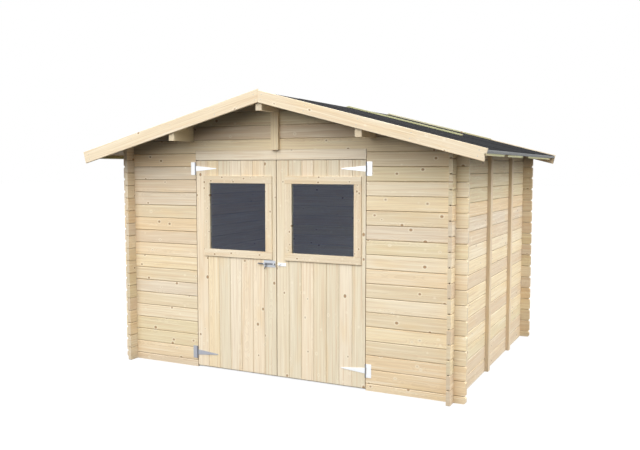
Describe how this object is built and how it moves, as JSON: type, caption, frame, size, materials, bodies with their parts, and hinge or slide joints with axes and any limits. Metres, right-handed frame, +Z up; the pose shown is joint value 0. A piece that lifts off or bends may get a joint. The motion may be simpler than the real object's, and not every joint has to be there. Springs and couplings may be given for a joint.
{
  "type": "wooden garden shed",
  "caption": "Wooden garden shed with notched, crossed board walls, a low felted gable roof with wide eaves, and a pair of outward-opening glazed doors with a sliding bolt.",
  "frame": {"origin": "middle of the roof plan, on the ground under the walls", "axes": "+X to the right seen from the front, +Y from the doors to the back wall, +Z up"},
  "size_m": [3.3823, 2.723, 2.2129],
  "materials": {
    "wall_spruce": "planed spruce, untreated",
    "planed_spruce": "planed spruce, fine",
    "treated_batten": "pressure-treated green",
    "roofing_felt": "mineral-faced bitumen felt",
    "zinc_ironwork": "bright zinc plated",
    "window_glass": "clear float glass"
  },
  "bodies": {
    "shed": {"left_wall": "wall_spruce", "right_wall": "wall_spruce", "front_wall_left": "wall_spruce", "front_wall_right": "wall_spruce", "front_gable": "wall_spruce", "back_wall": "wall_spruce", "back_gable": "wall_spruce", "door_lintel": "planed_spruce", "left_door_post": "wall_spruce", "right_door_post": "wall_spruce", "door_head_rail": "wall_spruce", "gable_post": "planed_spruce", "left_storm_battens": "wall_spruce", "right_storm_battens": "wall_spruce", "ridge_purlin": "wall_spruce", "left_purlin": "wall_spruce", "right_purlin": "wall_spruce", "left_roof_deck": "wall_spruce", "right_roof_deck": "wall_spruce", "left_roof_felt": "roofing_felt", "right_roof_felt": "roofing_felt", "front_left_bargeboard": "planed_spruce", "front_right_bargeboard": "planed_spruce", "back_left_bargeboard": "planed_spruce", "back_right_bargeboard": "planed_spruce", "left_felt_battens": "treated_batten", "right_felt_battens": "treated_batten", "left_eave_battens": "treated_batten", "right_eave_battens": "treated_batten", "left_hinge_plates": "zinc_ironwork", "right_hinge_plates": "zinc_ironwork"},
    "left_door": {"left_door_leaf": "planed_spruce", "left_door_ledges": "wall_spruce", "left_window_frame": "planed_spruce", "left_window_glass": "window_glass", "left_hinge_straps": "zinc_ironwork", "bolt_guide": "zinc_ironwork"},
    "right_door": {"right_door_leaf": "planed_spruce", "right_door_ledges": "wall_spruce", "right_window_frame": "planed_spruce", "right_window_glass": "window_glass", "right_hinge_straps": "zinc_ironwork", "bolt_keeper": "zinc_ironwork"},
    "bolt": {"bolt_rod": "zinc_ironwork"}
  },
  "joints": [
    {"name": "left_door_hinge", "type": "hinge", "parent": "shed", "child": "left_door", "pos_m": [-0.75, -1.0928, 0], "axis": [0, 0, -1], "range_deg": [0, 150]},
    {"name": "right_door_hinge", "type": "hinge", "parent": "shed", "child": "right_door", "pos_m": [0.75, -1.0928, 0], "axis": [0, 0, 1], "range_deg": [0, 150]},
    {"name": "bolt_slide", "type": "slide", "parent": "left_door", "child": "bolt", "axis": [-1, 0, 0], "range_m": [-0.052, 0]}
  ]
}
